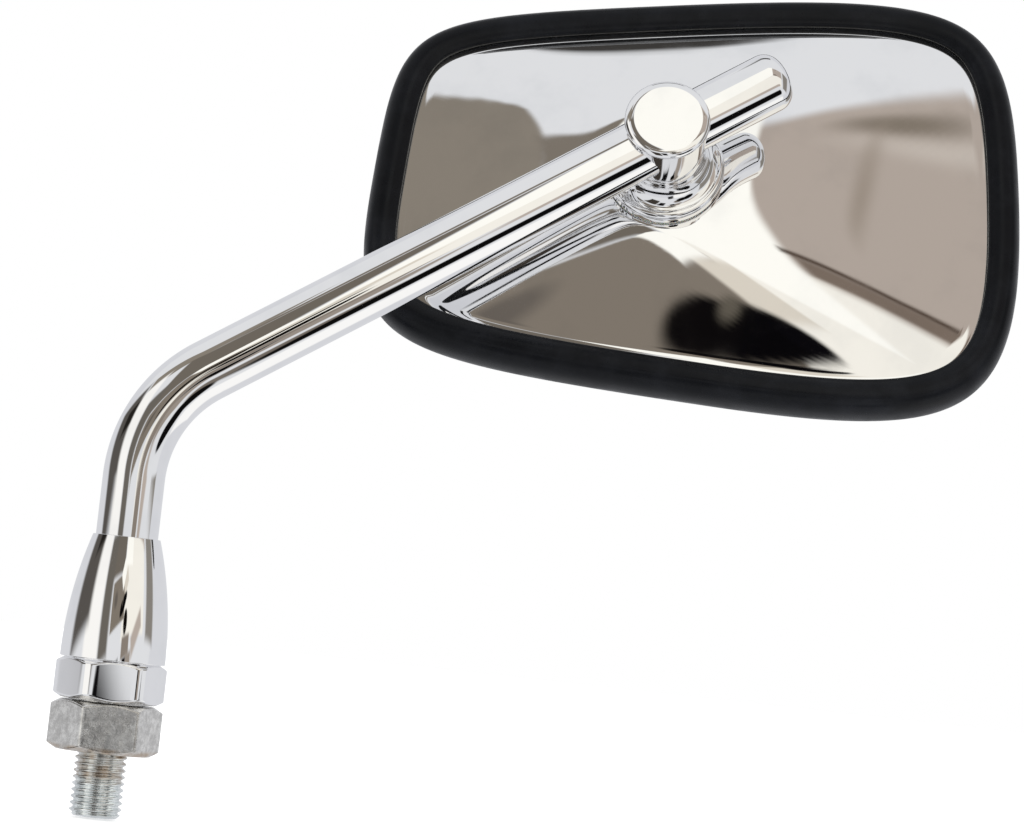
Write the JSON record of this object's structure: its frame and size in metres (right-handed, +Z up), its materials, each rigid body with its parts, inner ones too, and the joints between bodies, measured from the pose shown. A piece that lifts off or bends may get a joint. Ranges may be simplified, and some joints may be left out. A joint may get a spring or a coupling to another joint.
{
  "type": "motorcycle mirror",
  "caption": "Rear-view mirror with a rounded rectangular chromed head in a rubber rim, swivelling on a post that grips a bent bar held in a tapered ferrule over a threaded stud.",
  "frame": {"origin": "on the stud's axis, at the seat under the adapter's hexagon, which is the face that bears on the handlebar bracket", "axes": "+Z up the stud's axis towards the ferrule; +X the way the bar bends; the back of the head faces about -Y and the mirror glass about +Y"},
  "size_m": [0.1856, 0.0614, 0.1822],
  "materials": {
    "chrome": "bright chrome plate, lightly hazed, polished all over",
    "zinc": "dull zinc plate, mottled on the flats, faint brown tint at the thread's root",
    "steel": "plain machined steel",
    "nylon": "matt natural nylon",
    "rubber": "black moulded rubber with a soft sheen",
    "silvered_glass": "back-silvered float glass",
    "felt": "dark fibre pad"
  },
  "bodies": {
    "base": {"adapter_bolt": "zinc", "clamp_ferrule": "chrome", "thrust_washer": "nylon"},
    "arm": {"stem": "chrome"},
    "clamp": {"stem_bush": "nylon"},
    "post": {"swivel_post": "chrome", "clamp_eye": "steel", "post_cap": "chrome", "seat_ring": "chrome", "disc_springs": "steel", "plain_washer": "steel", "lock_nut": "steel", "nut_ring": "nylon"},
    "head": {"shell": "chrome", "backing_plate": "steel", "slip_washer": "nylon", "inner_washer": "nylon", "mirror_glass": "silvered_glass", "glass_pad": "felt", "rubber_rim": "rubber"}
  },
  "joints": [
    {"name": "stem_turn", "type": "hinge", "parent": "base", "child": "arm", "pos_m": [0, 0, 0], "axis": [0, 0, 1], "continuous": true},
    {"name": "clamp_slide", "type": "slide", "parent": "arm", "child": "clamp", "axis": [0.829, 0, 0.5592], "range_m": [-0.025, 0.015]},
    {"name": "head_roll", "type": "hinge", "parent": "clamp", "child": "post", "pos_m": [0.09729, 0, 0.13308], "axis": [0.829, 0, 0.5592], "continuous": true},
    {"name": "head_swivel", "type": "hinge", "parent": "post", "child": "head", "pos_m": [0.09729, 0, 0.13308], "axis": [-0.2274, -0.9135, 0.3372], "continuous": true}
  ]
}
